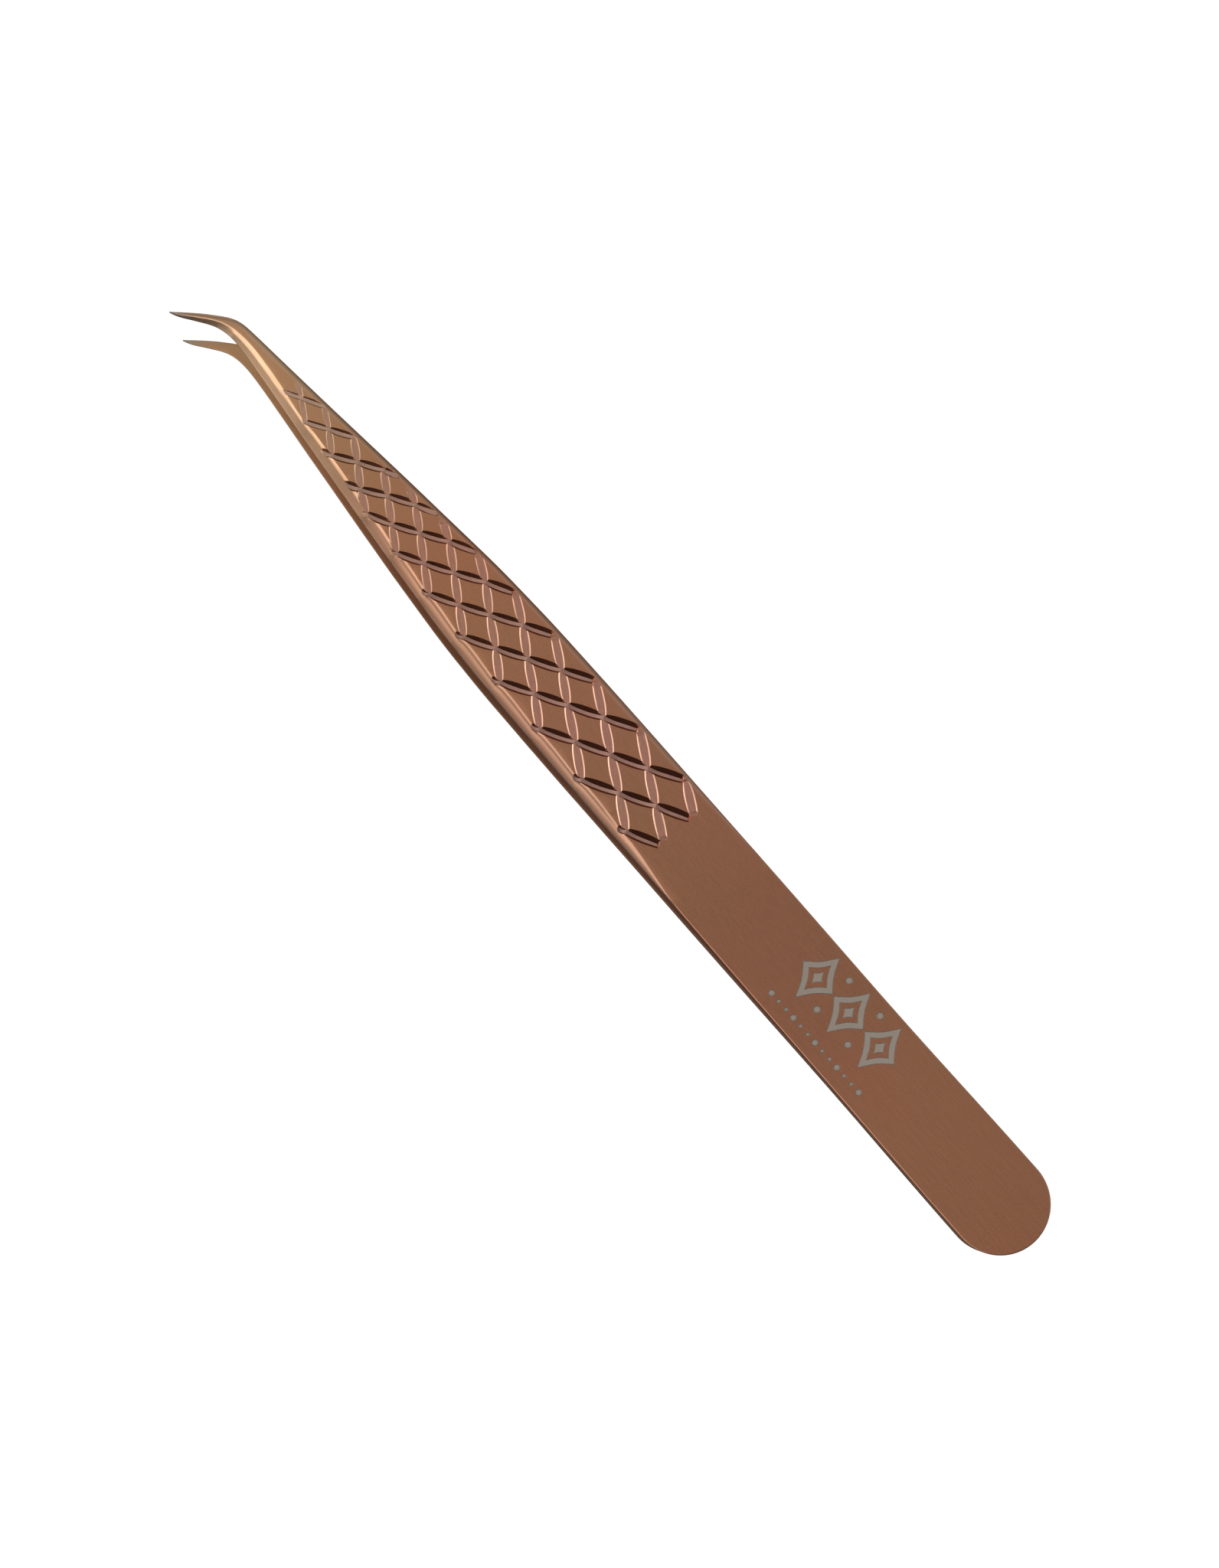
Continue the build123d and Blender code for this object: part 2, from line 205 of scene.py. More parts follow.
def inside(loop, points):
    """Which points lie within a closed loop, by counting crossings."""
    x, y = points[:, 0], points[:, 1]
    result = np.zeros(len(points), bool)
    for (x0, y0), (x1, y1) in zip(loop, np.roll(loop, -1, axis=0)):
        crosses = (y0 > y) != (y1 > y)
        if crosses.any():
            result ^= crosses & (x < x0 + (y - y0) * (x1 - x0) / (y1 - y0))
    return result


# ------------------------------------------------------------------ outline
def edge_step(x):
    return 0.9 if x < 44 else 0.5 if x < 106 else 0.22 if x < 113 else 0.13


def fine_step(x):
    return 0.08


back_line, back_fine = (spline(BACK, TAIL_DIRECTION, BACK_TIP_DIRECTION, step)
                        for step in (edge_step, fine_step))
front_line, front_fine = (spline(FRONT, TAIL_DIRECTION, FRONT_TIP_DIRECTION, step)
                          for step in (edge_step, fine_step))
tip_arc = arc(back_line[-1], TIP, front_line[-1], count=3)
tail_arc = arc(front_line[0], (0.0, 0.0), back_line[0], count=61)
# counter-clockwise loop: back edge out to the points, front edge home, round the tail
OUTLINE = np.vstack([back_line, tip_arc, front_line[::-1], tail_arc])
OUTLINE_COUNT = len(OUTLINE)
BACK_COUNT = len(back_line)
FRONT_START = BACK_COUNT + len(tip_arc)


def to_the_left(tangent):
    return np.c_[-tangent[:, 1], tangent[:, 0]]


chords = np.roll(OUTLINE, -1, axis=0) - np.roll(OUTLINE, 1, axis=0)
INWARD = to_the_left(chords / np.linalg.norm(chords, axis=1)[:, None])
# distance across the blade at each outline point
ACROSS = np.where(np.arange(OUTLINE_COUNT) < BACK_COUNT,
                  distance_to(front_fine, OUTLINE), distance_to(back_fine, OUTLINE))
ACROSS[FRONT_START + len(front_line):] = 2 * TAIL_R
ACROSS = np.maximum(ACROSS, 0.05)


def clear_of_edge(points):
    """Signed distance in from the outline: negative outside."""
    distance = distance_to(np.vstack([OUTLINE, OUTLINE[:1]]), points)
    return np.where(inside(OUTLINE, points), distance, -distance)


def edge_distances(points):
    """Distances in from the front and the back edge; the round tail counts as both."""
    x, y = points[:, 0], points[:, 1]
    from_rim = np.maximum(TAIL_R - np.hypot(x - TAIL_R, y), 0)
    return [np.where(x < TAIL_R, from_rim, distance_to(line, points))
            for line in (front_fine, back_fine)]


def inner_z(x):
    return along(INNER, x)


def outer_z(x):
    return along(INNER, x) + along(THICK, x)


# ------------------------------------------------------------------ grip lattice
# "long" cuts run towards +x and +y together, "cross" cuts the other way. Sizes are for the
# tail end of the grip and shrink towards the points.
CROSSING_HALF = 0.30                      # half width at the crossings
MID_HALF, MID_HALF_TIP = 0.51, 0.39       # half width midway, at the grip's two ends
# wall widths: long cuts have one wide and one narrow wall, cross cuts two narrow ones
WIDE_WALL, NARROW_WALL, CROSS_WALL, CROSSING_WALL = 0.50, 0.22, 0.13, 0.115
LONG_DEPTH, CROSS_DEPTH = 0.284, 0.100
FAR_SIDE = np.array([0.5, -0.87])         # the far wall lies this way from the centre line
REACH = 0.26                              # how far a cut runs on past a crossing
OPEN_END_WALL = 0.08
TRIM = 0.04                               # step by which a cut is kept off the edge
FLOOR, FAR, NEAR, END = range(4)          # zones of a cut


class Groove:
    """One lens-shaped cut from a crossing to another, to a blind end, or out over a bevel."""

    def __init__(self, start, end, blind=False, past=0.0, short=0.0, notch=False):
        self.start, end = np.array(start, float), np.array(end, float)
        self.ahead = (end - self.start) / np.linalg.norm(end - self.start)
        self.end = end - self.ahead * short
        self.length = np.linalg.norm(self.end - self.start)
        self.side = np.array([-self.ahead[1], self.ahead[0]])
        self.long = self.ahead[0] * self.ahead[1] > 0
        self.far = 1 if self.side @ FAR_SIDE > 0 else -1
        self.blind, self.past = blind, past
        self.set_sizes(notch)
        if past > 0:                    # runs out over the bevel, but stays inside the edge
            while self.past > -1.2 and clear_of_edge(self.outline()).min() < 0.13:
                self.past -= TRIM
        elif blind:
            while self.length > 0.7 and clear_of_edge(self.outline()).min() < 0.15:
                self.length -= TRIM
                self.end = self.start + self.ahead * self.length

    def set_sizes(self, notch):
        middle = self.middle_x()
        grip = rise(middle, 54, 52)     # share of the way along the grip
        size = 1 - 0.24 * grip
        far = self.far
        self.crossing_half = CROSSING_HALF * size
        self.crossing_wall = CROSSING_WALL * size
        self.crossing_depth = CROSS_DEPTH * (1 - 0.35 * grip)
        if notch:                       # the short nick a long cut leaves in the bevel
            half = 0.36 * size
            walls = {far: 0.30 * size, -far: 0.12 * size}
            depth = 0.19 * (1 - 0.2 * grip)
        else:
            half = MID_HALF + (MID_HALF_TIP - MID_HALF) * grip
            if self.long:
                walls = {far: WIDE_WALL * size * (1 - 0.28 * grip), -far: NARROW_WALL * size}
                depth = LONG_DEPTH * (1 - 0.36 * grip)
            else:
                walls = {1: CROSS_WALL * size, -1: CROSS_WALL * size}
                depth = self.crossing_depth
        slim = 1 - 0.48 * rise(middle, 98.8, 4)      # the last cuts before the neck are faint
        self.walls = {way: width * slim for way, width in walls.items()}
        self.mid_half, self.depth = half * (0.4 + 0.6 * slim), depth * slim
        # towards the prongs the blind long cuts run out before the edge
        self.fade = 0.78 * rise(middle, 82, 8) if self.blind and self.long else 0.0

    def middle_x(self):
        return (self.start[0] + self.end[0]) / 2

    def swelling(self, at_crossing, at_middle, t):
        """Size at share t of the length; a blind cut keeps its middle size to the end."""
        k = np.clip(t, 0, 0.5) if self.blind else np.clip(t, 0, 1)
        return at_crossing + (at_middle - at_crossing) * (1 - np.abs(2 * k - 1) ** 2.4)

    def taper(self, t, share):
        return 1 - share * rise(t, 0.55, 0.45) ** 2 if self.blind else 1

    def run_out(self, t, share=1):
        return 1 - share * self.fade * rise(t, 0.1, 0.7)

    def half(self, t):
        return (self.swelling(self.crossing_half, self.mid_half, t)
                * (self.taper(t, 0.24) * self.run_out(t, 0.4)))

    def wall(self, t, way):
        return (self.swelling(self.crossing_wall, self.walls[way], t)
                * (self.taper(t, 0.20) * self.run_out(t)))

    def depth_at(self, t):
        return self.swelling(self.crossing_depth, self.depth, t) * self.run_out(t)

    def span(self):
        """First and last share of the length that the cut covers."""
        reach = REACH / self.length
        if self.blind:
            return -reach, 1.0
        return -reach, 1 + (reach if self.past == 0 else self.past / self.length)

    def end_wall(self):
        return (0.20 if self.long else 0.45) if self.blind else OPEN_END_WALL

    def near(self, points):
        """Numbers of the points close enough in x to be touched by the cut."""
        return np.flatnonzero(np.abs(points[:, 0] - self.middle_x()) < self.length / 2 + 1.2)

    def position(self, points):
        return (points - self.start) @ self.ahead / self.length

    def wall_shares(self, points):
        """Share of each wall climbed down: offset to the side, left, right and end walls."""
        t = self.position(points)
        offset = (points - self.start) @ self.side
        first, last = self.span()
        half = self.half(t)
        left = (half - offset) / self.wall(t, 1)
        right = (half + offset) / self.wall(t, -1)
        end = np.minimum((t - first) * self.length / OPEN_END_WALL,
                         (last - t) * self.length / self.end_wall())
        return offset, left, right, end

    def cut(self, points):
        """Depth below the flat at each point."""
        offset, left, right, end = self.wall_shares(points)
        share = np.minimum(np.where(offset > 0, left, right), end)
        return self.depth_at(self.position(points)) * np.clip(share, 0, 1)

    def zone(self, points):
        _, left, right, end = self.wall_shares(points)
        lowest = np.minimum(np.minimum(left, right), end)
        left_zone, right_zone = (FAR, NEAR) if self.far == 1 else (NEAR, FAR)
        wall = np.where(left < right, left_zone, right_zone)
        return np.where(lowest > 0.97, FLOOR, np.where(end <= lowest, END, wall))

    def outline(self, floor=False):
        """Loop round the whole cut, or round its floor."""
        first, last = self.span()
        if floor and self.blind:
            last = last - self.end_wall() / self.length
        t = np.linspace(first, last, 19)
        left = right = self.half(t)
        if floor:       # a wide wall may pass the centre line
            left, right = left - self.wall(t, 1), right - self.wall(t, -1)
        centre = self.start + np.outer(t * self.length, self.ahead)
        return np.vstack([centre + np.outer(left, self.side),
                          (centre - np.outer(right, self.side))[::-1]])


def grip_grooves():
    grooves = []
    for i, crossing in enumerate(MID_ROW):
        for row in (BACK_ROW, FRONT_ROW):
            if i < len(row):
                grooves.append(Groove(crossing, row[i]))
            if i > 0:
                grooves.append(Groove(crossing, row[i - 1]))
    for i, end in enumerate(FRONT_EDGE):
        grooves.append(Groove(FRONT_ROW[i], end, past=0.30))
        if i > 0:
            grooves.append(Groove(FRONT_ROW[i - 1], end, past=0.34))
    handle_end = (51.1, 1.82)           # stands in for a front crossing before the first
    for i, end in enumerate(FRONT_EDGE):
        end = np.array(end)
        ahead = end - np.array(FRONT_ROW[i - 1] if i else handle_end)
        ahead = ahead / np.linalg.norm(ahead)
        grooves.append(Groove(end + 0.05 * ahead, end + 0.88 * ahead, past=0.02, notch=True))
    for i, end in enumerate(BACK_EDGE):
        grooves.append(Groove(BACK_ROW[i], end, blind=True, short=0.14))
        if i > 0:
            grooves.append(Groove(BACK_ROW[i - 1], end, blind=True, short=0.16))
    # blind ends at the handle side and at the prong side
    for start, end in ((MID_ROW[0], (51.05, -1.98)), (MID_ROW[0], (51.15, 1.30)),
                       (FRONT_EDGE[0], handle_end), (MID_ROW[10], (107.25, -1.58)),
                       (MID_ROW[10], (107.3, 0.44)), ((53.86, -3.95), (51.0, -2.42))):
        grooves.append(Groove(start, end, blind=True))
    # short run-outs over the front bevel beside the neck
    for start, end in ((FRONT_ROW[7], (96.6, 1.80)), (FRONT_ROW[8], (100.6, 1.50))):
        grooves.append(Groove(start, end, past=0.04))
    return grooves


GROOVES = grip_grooves()


# ------------------------------------------------------------------ ground bevels
def profile(*table):
    """Drop against share of the width, for a width of 1, from (share, slope in degrees)."""
    shares, degrees = zip(*table)
    u = np.linspace(0, 1, 101)
    slope = np.tan(np.radians(np.interp(u, shares, degrees)))
    return u, np.r_[0, np.cumsum((slope[1:] + slope[:-1]) / 2)] * (u[1] - u[0])


# front bevel, tail to points; on the grip a fine facet, a slight hollow, then the ground round
FRONT_PROFILES = (
    profile((0, 6), (0.05, 13), (0.36, 15), (0.50, 20), (0.8, 23.5), (1, 25)),
    profile((0, 6), (0.03, 13), (0.155, 14), (0.20, 22.5), (0.29, 22.5), (0.36, 16.5),
            (0.50, 17.5), (0.66, 21), (0.80, 23.5), (1, 25)),
    profile((0, 9), (0.04, 13), (0.22, 15), (0.32, 24), (0.9, 27), (1, 30)),
    profile((0, 6), (0.12, 13), (0.43, 14.5), (0.52, 26), (0.9, 27), (1, 30)),
    profile((0, 8), (0.12, 22), (0.30, 33), (1, 38)))
BACK_PROFILE = profile((0, 6), (0.1, 11), (0.5, 20), (0.8, 31), (1, 42))
# mesh rows along the bevels, as shares of the width from the flat
BEVEL_ROWS = (0.0, 0.04, 0.10, 0.16, 0.20, 0.245, 0.29, 0.36, 0.44, 0.54, 0.68, 0.84)


def scallop(x):
    """Step out of the flat's front edge, full at each middle crossing and easing between."""
    crossing = np.interp(x, [p[0] for p in MID_ROW], range(len(MID_ROW)))
    on_grip = rise(x, 53.0, 1.5) * rise(x, 97, -3)
    part = crossing - np.floor(crossing)
    bow = np.clip(part / 0.62, 0, 1) ** 0.7 * np.clip((1 - part) / 0.12, 0, 1) ** 0.5
    return 0.24 * (1 - bow) * on_grip


def bevel_widths(x):
    """Widths of the front and the back bevel."""
    return (np.maximum(along(FRONT_BEVEL_WIDTH, x) - scallop(x), 1e-4),
            np.maximum(along(BACK_BEVEL_WIDTH, x), 1e-4))


def broken_edge(distance, radius):
    """Drop of a small rounding at a distance in from the edge."""
    k = np.clip(1 - distance / radius, 0, 1)
    return radius * (1 - np.sqrt(1 - k * k))


def drop(x, from_front, from_back):
    """Drop below the flat at given distances from the two edges."""
    front_width, back_width = bevel_widths(x)
    front_share = np.clip(1 - from_front / front_width, 0, 1)
    back_share = np.clip(1 - from_back / back_width, 0, 1)
    grip, taper = rise(x, 53.5, 3.5), rise(x, 85, 10)
    neck, tip = rise(x, 105.2, 2.8), rise(x, 114.3, 1.6)
    weights = (1 - grip, grip - taper, taper - neck, neck - tip, tip)
    front = front_width * sum(weight * np.interp(front_share, *shape)
                              for weight, shape in zip(weights, FRONT_PROFILES))
    back = along(BACK_BEVEL_DROP, x) * np.interp(back_share, *BACK_PROFILE) / BACK_PROFILE[1][-1]
    radius = 0.09 + 0.02 * rise(x, 52, -9) - 0.05 * rise(x, 84, 24) - 0.025 * rise(x, 111, 3)
    rounding = broken_edge(np.minimum(from_front, from_back), radius)
    return np.minimum(np.maximum(front, back) + rounding, along(THICK, x) - 0.07)


# ------------------------------------------------------------------ etched ornament, handle
ETCH_DEPTH = 0.022
BORDER = 0.085                            # width of the ornament's border
LEAF_Y = -1.20
DOT_FIRST_X, DOT_LAST_X, DOT_GAPS = 21.3, 33.7, 12


def leaf(x, y, half_length, half_width):
    """Four-cornered leaf with softly hollowed sides."""
    steps, hollow = 14, 0.12
    centre = np.array([x, y])
    corners = [np.array(corner) for corner in ((x + half_length, y), (x, y + half_width),
                                               (x - half_length, y), (x, y - half_width))]
    points = []
    for k in range(4):
        for t in (j / steps for j in range(steps)):
            point = corners[k] + (corners[(k + 1) % 4] - corners[k]) * t
            points.append(point + (centre - point) * hollow * math.sin(math.pi * t))
    return np.array(points)


def disc(x, y, radius):
    angles = [2 * math.pi * k / 20 for k in range(20)]
    return np.array([(x + radius * math.cos(a), y + radius * math.sin(a)) for a in angles])


def ornament_loops():
    """Loops of the ornament and of its core within the border, each with its sign:
    1 adds to what is etched, -1 takes away."""
    whole, core = [], []

    def add(shape, sign, x, y, *size):
        inset = sign * BORDER * (1.25 if shape is leaf else 1)
        whole.append((shape(x, y, *size), sign))
        core.append((shape(x, y, *[value - inset for value in size]), sign))

    for x in (23.1, 27.5, 31.9):
        add(leaf, 1, x, LEAF_Y, 2.12, 2.85)
        add(leaf, -1, x, LEAF_Y, 1.22, 1.64)
        add(leaf, 1, x, LEAF_Y, 0.62, 0.84)
    for x in (25.3, 29.7):
        add(disc, 1, x, -3.25, 0.36)
        add(disc, 1, x, 0.85, 0.36)
    for k in range(DOT_GAPS + 1):
        x = DOT_FIRST_X + k * (DOT_LAST_X - DOT_FIRST_X) / DOT_GAPS
        add(disc, 1, x, 3.05, 0.21 if k % 3 else 0.33)
    return whole, core


ORNAMENT, ORNAMENT_CORE = ornament_loops()


def etched(points, loops):
    """Which points the signed loops cover."""
    near = np.flatnonzero((points[:, 0] > 20) & (points[:, 0] < 35))
    covered = np.zeros(len(near), bool)
    for loop, sign in loops:
        within = inside(loop, points[near])
        covered = (covered | within) if sign > 0 else (covered & ~within)
    result = np.zeros(len(points), bool)
    result[near] = covered
    return result


# ------------------------------------------------------------------ blade mesh
def bevel_rows(line, way):
    """Open lines along a bevel; way is 1 for the back edge, -1 for the front."""
    tangent = np.gradient(line, axis=0)
    tangent /= np.linalg.norm(tangent, axis=1)[:, None]
    inward = to_the_left(tangent) * way
    keep = line[:, 0] > 42.0
    line, inward = line[keep], inward[keep]
    front_width, back_width = bevel_widths(line[:, 0])
    if way == 1:
        width = np.minimum(back_width, distance_to(front_fine, line) * 0.44)
    else:
        width = np.minimum(front_width, distance_to(back_fine, line) * 0.52)
    return [line + inward * (width * (1 - u))[:, None] for u in BEVEL_ROWS]


def fill_points():
    """Loose grid of points across the blade."""
    points = []
    x = 1.2
    while x < 117.5:
        if x < TAIL_R:
            front = math.sqrt(max(TAIL_R**2 - (TAIL_R - x)**2, 0))
            back = -front
        else:
            back = np.interp(x, back_line[:, 0], back_line[:, 1])
            front = np.interp(x, front_line[:, 0], front_line[:, 1])
        count = max(2, int((front - back) / (1.1 if x < 106 else 0.45)))
        points.extend((x, back + (front - back) * k / count) for k in range(1, count))
        x += 1.6 if x < 50 else 1.1 if x < 106 else 0.5 if x < 113 else 0.2
    return points


def plan(top):
    """Constrained triangulation of the blade's plan: points, triangles, and the vertex
    numbers of the outline."""
    points, edges = [], []

    def add_line(line, closed=True):
        first, count = len(points), len(line)
        points.extend(line.tolist())
        for i in range(count if closed else count - 1):
            edges.append((first + i, first + (i + 1) % count))

    add_line(OUTLINE)
    rings = (0.018, 0.05, 0.11) if top else (0.02, 0.06)
    for ring in rings:
        inset = np.minimum(ring, ACROSS * 0.16 * (ring / rings[-1]))
        add_line(OUTLINE + INWARD * inset[:, None])
    if top:
        for row in bevel_rows(back_line, 1) + bevel_rows(front_line, -1):
            add_line(row, closed=False)
        for groove in GROOVES:
            add_line(groove.outline())
            add_line(groove.outline(floor=True))
        for loop, _ in ORNAMENT + ORNAMENT_CORE:
            add_line(loop)
    points.extend(fill_points())
    places, _, faces, sources, _, _ = delaunay_2d_cdt(
        [Vector(p) for p in points], edges, [list(range(OUTLINE_COUNT))], 1, 1e-5)
    new_number = {old: new for new, olds in enumerate(sources) for old in olds}
    return (np.array([(v.x, v.y) for v in places]), np.array([f for f in faces if len(f) == 3]),
            [new_number[i] for i in range(OUTLINE_COUNT)])


def top_heights(points, triangles, ring, mark):
    from_front, from_back = edge_distances(points)
    from_back[ring[:BACK_COUNT]] = 0
    from_front[ring[FRONT_START:]] = 0
    flat = outer_z(points[:, 0])
    crown = flat - drop(points[:, 0], from_front, from_back)
    cut = np.zeros(len(points))
    for groove in GROOVES:
        near = groove.near(points)
        cut[near] = np.maximum(cut[near], groove.cut(points[near]))
    z = np.minimum(crown, flat - cut)
    # only points wholly within the mark are sunk
    sunk = np.zeros(len(points), bool)
    sunk[np.unique(triangles[mark])] = True
    sunk[np.unique(triangles[~mark])] = False
    return np.where(sunk, z - ETCH_DEPTH, z)


# slot by direction (long, cross) and zone (floor, far wall, near wall, end)
GROOVE_SLOTS = np.array(((LONG_FLOOR, FAR_WALL, NEAR_WALL, PAINTED_HIGHLIGHT_WALL),
                         (CROSS_FLOOR, PAINTED_HIGHLIGHT_WALL, PAINTED_HIGHLIGHT_WALL, CROSS_FLOOR)))


def top_slots(centres, mark):
    """Material slot of each triangle, from its centre."""
    count = len(centres)
    cut, share = np.zeros(count), np.zeros(count)
    slot_in_cut = np.zeros(count, int)
    for groove in GROOVES:
        near = groove.near(centres)
        depth = groove.cut(centres[near])
        deeper = depth > cut[near] + 1e-6
        near, depth = near[deeper], depth[deeper]
        cut[near] = depth
        share[near] = depth / groove.depth_at(groove.position(centres[near]))
        direction = 0 if groove.long else 1
        slot_in_cut[near] = GROOVE_SLOTS[direction, groove.zone(centres[near])]
    x = centres[:, 0]
    from_front, from_back = edge_distances(centres)
    front_width, back_width = bevel_widths(x)
    slots = np.full(count, COATED)
    slots[((from_front < front_width) | (from_back < back_width)) & (x > 45.5)] = BEVEL
    below = (cut > drop(x, from_front, from_back) + 0.004) & (share > 0.02)
    slots[below] = slot_in_cut[below]
    slots[mark] = ETCHED_BORDER
    slots[etched(centres, ORNAMENT_CORE) & mark] = ETCHED
    return slots


def blade_shape():
    """One blade as points, faces and material slots, z from the middle plane."""
    top, top_faces, top_ring = plan(top=True)
    centres = top[top_faces].mean(axis=1)
    mark = etched(centres, ORNAMENT)
    top_z = top_heights(top, top_faces, top_ring, mark)
    inner, inner_faces, inner_ring = plan(top=False)
    radius = 0.06 * np.clip((120.5 - inner[:, 0]) / 6, 0.25, 1)
    inner_height = inner_z(inner[:, 0]) + broken_edge(np.minimum(*edge_distances(inner)), radius)
    points = np.vstack([np.c_[top, top_z], np.c_[inner, inner_height]])
    # side wall, with two rows between the two rims
    top_rim, inner_rim = np.array(top_ring), np.array(inner_ring) + len(top)
    base = len(points)
    points = np.vstack([points] + [points[top_rim] * (1 - share) + points[inner_rim] * share
                                   for share in (0.33, 0.67)])
    rows = [top_rim, np.arange(base, base + OUTLINE_COUNT),
            np.arange(base + OUTLINE_COUNT, base + 2 * OUTLINE_COUNT), inner_rim]
    faces = [tuple(face) for face in top_faces.tolist()]
    faces += [(a, c, b) for a, b, c in (inner_faces + len(top)).tolist()]
    for upper, lower in zip(rows[:-1], rows[1:]):
        for i in range(OUTLINE_COUNT):
            j = (i + 1) % OUTLINE_COUNT
            faces.append((int(upper[j]), int(upper[i]), int(lower[i]), int(lower[j])))
    slots = (top_slots(centres, mark).tolist() + [INNER_FACE] * len(inner_faces)
             + [SIDE_FACE] * (3 * OUTLINE_COUNT))
    return points, faces, slots


def mark_sharp_edges(mesh, degrees):
    """Marks the edges whose two faces meet at more than the angle."""
    count = len(mesh.polygons)
    normals = np.empty(count * 3)
    mesh.polygons.foreach_get("normal", normals)
    normals = normals.reshape(-1, 3)
    corner_edge = np.empty(len(mesh.loops), int)
    mesh.loops.foreach_get("edge_index", corner_edge)
    corners = np.empty(count, int)
    mesh.polygons.foreach_get("loop_total", corners)
    # sort the face corners by edge, so that an edge's two faces are neighbours
    order = np.argsort(corner_edge, kind="stable")
    edge, face = corner_edge[order], np.repeat(np.arange(count), corners)[order]
    first = np.flatnonzero(np.r_[True, edge[1:] != edge[:-1]])
    pair = first[np.diff(np.r_[first, len(edge)]) == 2]
    cosine = (normals[face[pair]] * normals[face[pair + 1]]).sum(1)
    sharp = np.zeros(len(mesh.edges), bool)
    sharp[edge[pair]] = cosine < math.cos(math.radians(degrees))
    attribute = (mesh.attributes.get("sharp_edge")
                 or mesh.attributes.new("sharp_edge", "BOOLEAN", "EDGE"))
    attribute.data.foreach_set("value", sharp)


def link_object(name, data):
    obj = bpy.data.objects.new(name, data)
    bpy.context.scene.collection.objects.link(obj)
    return obj


def blade(name, shape, way):
    """Closed mesh of one blade at rest; way is 1 for the upper blade, -1 for the lower."""
    points, faces, slots = shape
    places = points.copy()
    places[:, 0] -= ORIGIN_X
    places[:, 2] = MID_Z + way * places[:, 2]
    if way < 0:
        faces = [tuple(reversed(face)) for face in faces]
    mesh = bpy.data.meshes.new(name)
    mesh.from_pydata((places * MM).tolist(), [], faces)
    mesh.polygons.foreach_set("material_index", slots)
    mesh.polygons.foreach_set("use_smooth", [True] * len(mesh.polygons))
    # close up points that fall within half a micron of each other
    work = bmesh.new()
    work.from_mesh(mesh)
    bmesh.ops.remove_doubles(work, verts=work.verts, dist=5e-7)
    work.to_mesh(mesh)
    work.free()
    mesh.update()
    obj = link_object(name, mesh)
    mark_sharp_edges(mesh, degrees=10.5)
    return obj


# ------------------------------------------------------------------ shader building
def grey(value):
    return (value, value, value)


class Graph:
    """Short calls for building a shader tree."""

    def __init__(self, tree):
        self.tree = tree
        tree.nodes.clear()

    def put(self, value, socket):
        """Feeds a socket from another node's output, or sets its value."""
        if isinstance(value, bpy.types.NodeSocket):
            self.tree.links.new(value, socket)
        else:
            socket.default_value = value

    def node(self, kind, inputs=None, **settings):
        node = self.tree.nodes.new("ShaderNode" + kind)
        for name, value in settings.items():
            setattr(node, name, value)
        for key, value in (inputs or {}).items():
            self.put(value, node.inputs[key])
        return node

    def math(self, operation, *values):
        return self.node("Math", dict(enumerate(values)), operation=operation).outputs[0]

    def mix(self, factor, first, second, mode="MIX"):
        node = self.node("Mix", data_type="RGBA", blend_type=mode)
        for key, value in (("Factor", factor), ("A", first), ("B", second)):
            self.put(value, node.inputs[key])
        return node.outputs[2]          # the colour result

    def multiply(self, colour, by):
        return self.mix(1.0, colour, by, "MULTIPLY")


class Surface(Graph):
    """A new material around a Principled shader."""

    def __init__(self, name):
        self.material = bpy.data.materials.new(name)
        self.material.use_nodes = True
        super().__init__(self.material.node_tree)
        self.output = self.node("OutputMaterial")
        self.shader = self.node("BsdfPrincipled")
        self.put(self.shader.outputs[0], self.output.inputs[0])

    def set(self, name, value):
        self.put(value, self.shader.inputs[name])

    def coords(self, scale=(1, 1, 1), turn=0):
        """Object coordinates in mm, turned about z, then scaled."""
        vector = self.node("TexCoord").outputs["Object"]
        mapping = self.node("Mapping", {"Scale": tuple(1000 * s for s in scale)})
        if turn:
            turned = self.node("Mapping", {"Rotation": (0, 0, turn), "Vector": vector})
            vector = turned.outputs[0]
        self.put(vector, mapping.inputs["Vector"])
        return mapping.outputs[0]

    def noise(self, vector, scale, detail, rough):
        return self.node("TexNoise", {"Scale": scale, "Detail": detail, "Roughness": rough,
                                      "Vector": vector}).outputs["Fac"]

    def ramp(self, factor, stops, mode="LINEAR"):
        node = self.node("ValToRGB", {"Fac": factor})
        node.color_ramp.interpolation = mode
        elements = node.color_ramp.elements
        while len(elements) < len(stops):
            elements.new(0.5)
        for element, (position, colour) in zip(elements, stops):
            element.position = position
            element.color = (*colour, 1)
        return node.outputs["Color"]

    def remap(self, value, span, to):
        return self.node("MapRange", {"From Min": span[0], "From Max": span[1],
                                      "To Min": to[0], "To Max": to[1],
                                      "Value": value}).outputs[0]

    def bump(self, height, strength, distance, normal=None):
        inputs = {"Strength": strength, "Distance": distance, "Height": height}
        if normal is not None:
            inputs["Normal"] = normal
        return self.node("Bump", inputs).outputs[0]

    def x_from_tail(self):
        """Distance from the tail end, mm."""
        place = self.node("TexCoord").outputs["Object"]
        split = self.node("SeparateXYZ", {0: place})
        return self.math("MULTIPLY_ADD", split.outputs[0], 1000.0, ORIGIN_X)


# ------------------------------------------------------------------ materials
# the coating's colour along the blade: (mm from the tail end, colour)
COAT = ((0.0, (0.630, 0.282, 0.160)), (40.0, (0.625, 0.276, 0.163)),
        (60.0, (0.630, 0.284, 0.166)), (86.0, (0.635, 0.284, 0.154)),
        (97.0, (0.665, 0.332, 0.174)), (105.0, (0.740, 0.395, 0.207)),
        (110.0, (0.800, 0.437, 0.228)), (120.0, (0.780, 0.437, 0.240)))
STEEL = (0.50, 0.47, 0.43)
COAT_LENGTH = 120


